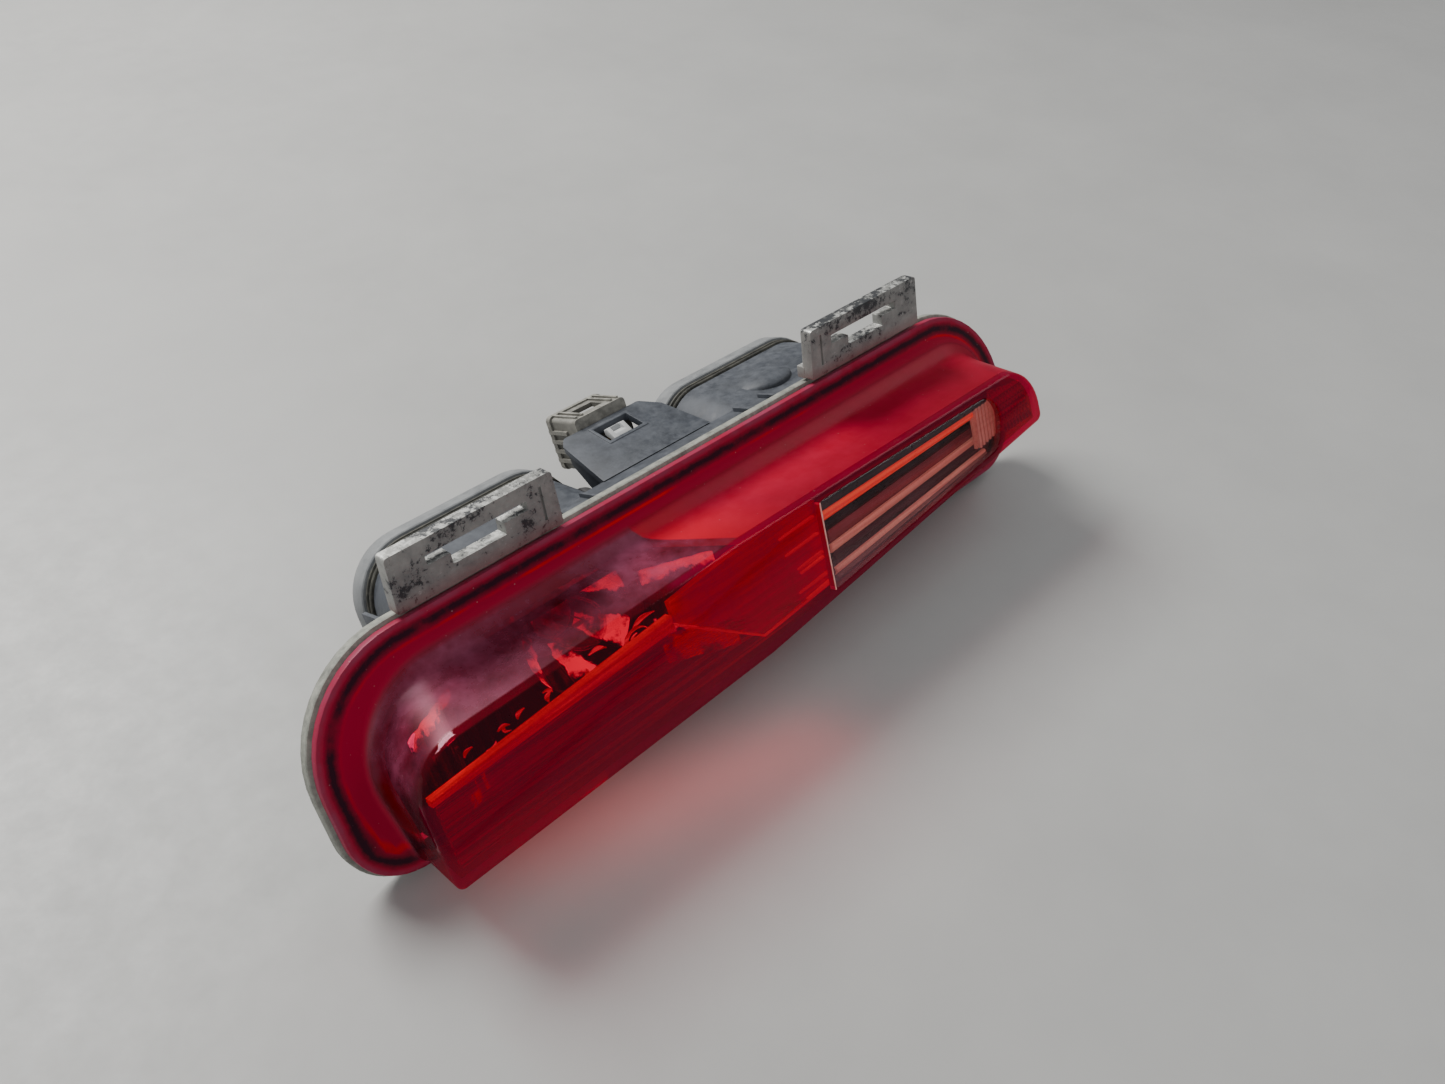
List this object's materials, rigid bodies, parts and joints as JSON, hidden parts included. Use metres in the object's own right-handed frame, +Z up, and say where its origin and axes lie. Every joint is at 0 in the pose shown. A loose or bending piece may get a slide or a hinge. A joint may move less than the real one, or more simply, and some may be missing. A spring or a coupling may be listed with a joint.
{
  "type": "third brake light",
  "caption": "Long red automotive rear lamp with a stop chamber, a clear window over stepped reflectors, slotted brackets, a centre tab and a rear connector.",
  "frame": {"origin": "centre of the bounding box's underside, lamp lying on its back", "axes": "+X along the lamp, -Y towards its front, +Z up"},
  "size_m": [0.2994, 0.118, 0.0834],
  "materials": {
    "red_lens": "clear red plastic, sun-hazed on top",
    "window": "clear plastic with a pink haze",
    "housing_grey": "moulded, weathered pale at the rim",
    "cap_grey": "moulded",
    "black_rubber": "dusty",
    "silvered": "vacuum silvered plastic",
    "mask_black": "matt",
    "red_optic": "clear red plastic, ribbed",
    "bracket_metal": "dull, speckled",
    "connector_grey": "moulded",
    "contact_brass": "plain",
    "holder_black": "moulded",
    "bulb_metal": "plain",
    "bulb_glass": "clear"
  },
  "bodies": {
    "lamp": {"outer_lens": "red_lens", "window_lens": "window", "housing": "housing_grey", "rear_cap_left": "cap_grey", "rear_cap_right": "cap_grey", "gasket_left": "black_rubber", "gasket_right": "black_rubber", "stop_reflector": "silvered", "chamber_mask": "mask_black", "step_reflector": "silvered", "centre_optic": "red_optic", "lower_optic": "red_optic", "light_bar": "red_optic", "bracket_left": "bracket_metal", "bracket_right": "bracket_metal", "centre_tab": "housing_grey", "connector_shell": "connector_grey", "connector_pin_stop": "contact_brass", "connector_pin_ground": "contact_brass", "connector_pin_reverse": "contact_brass", "stop_feed_strip": "contact_brass", "reverse_feed_strip": "contact_brass"},
    "catch": {"tab_catch": "cap_grey"},
    "stop_holder": {"stop_bulb_holder": "holder_black", "stop_holder_seal": "black_rubber"},
    "stop_bulb": {"stop_bulb_base": "bulb_metal", "stop_bulb_glass": "bulb_glass"},
    "reverse_holder": {"reverse_bulb_holder": "holder_black", "reverse_holder_seal": "black_rubber"},
    "reverse_bulb": {"reverse_bulb_base": "bulb_metal", "reverse_bulb_glass": "bulb_glass"}
  },
  "joints": [
    {"name": "catch_flex", "type": "hinge", "parent": "lamp", "child": "catch", "pos_m": [0, 0.02784, 0.04451], "axis": [1, 0, 0], "range_deg": [0, 8], "stiffness_Nm_per_rad": 0.05},
    {"name": "stop_holder_turn", "type": "hinge", "parent": "lamp", "child": "stop_holder", "pos_m": [-0.061, 0.03305, 0.0129], "axis": [0, 0.891, -0.454], "range_deg": [0, 45]},
    {"name": "stop_bulb_turn", "type": "hinge", "parent": "stop_holder", "child": "stop_bulb", "pos_m": [-0.061, 0.03305, 0.0129], "axis": [0, 0.891, -0.454], "range_deg": [0, 25]},
    {"name": "reverse_holder_turn", "type": "hinge", "parent": "lamp", "child": "reverse_holder", "pos_m": [0.061, 0.03305, 0.0129], "axis": [0, 0.891, -0.454], "range_deg": [0, 45]},
    {"name": "reverse_bulb_turn", "type": "hinge", "parent": "reverse_holder", "child": "reverse_bulb", "pos_m": [0.061, 0.03305, 0.0129], "axis": [0, 0.891, -0.454], "range_deg": [0, 25]}
  ]
}
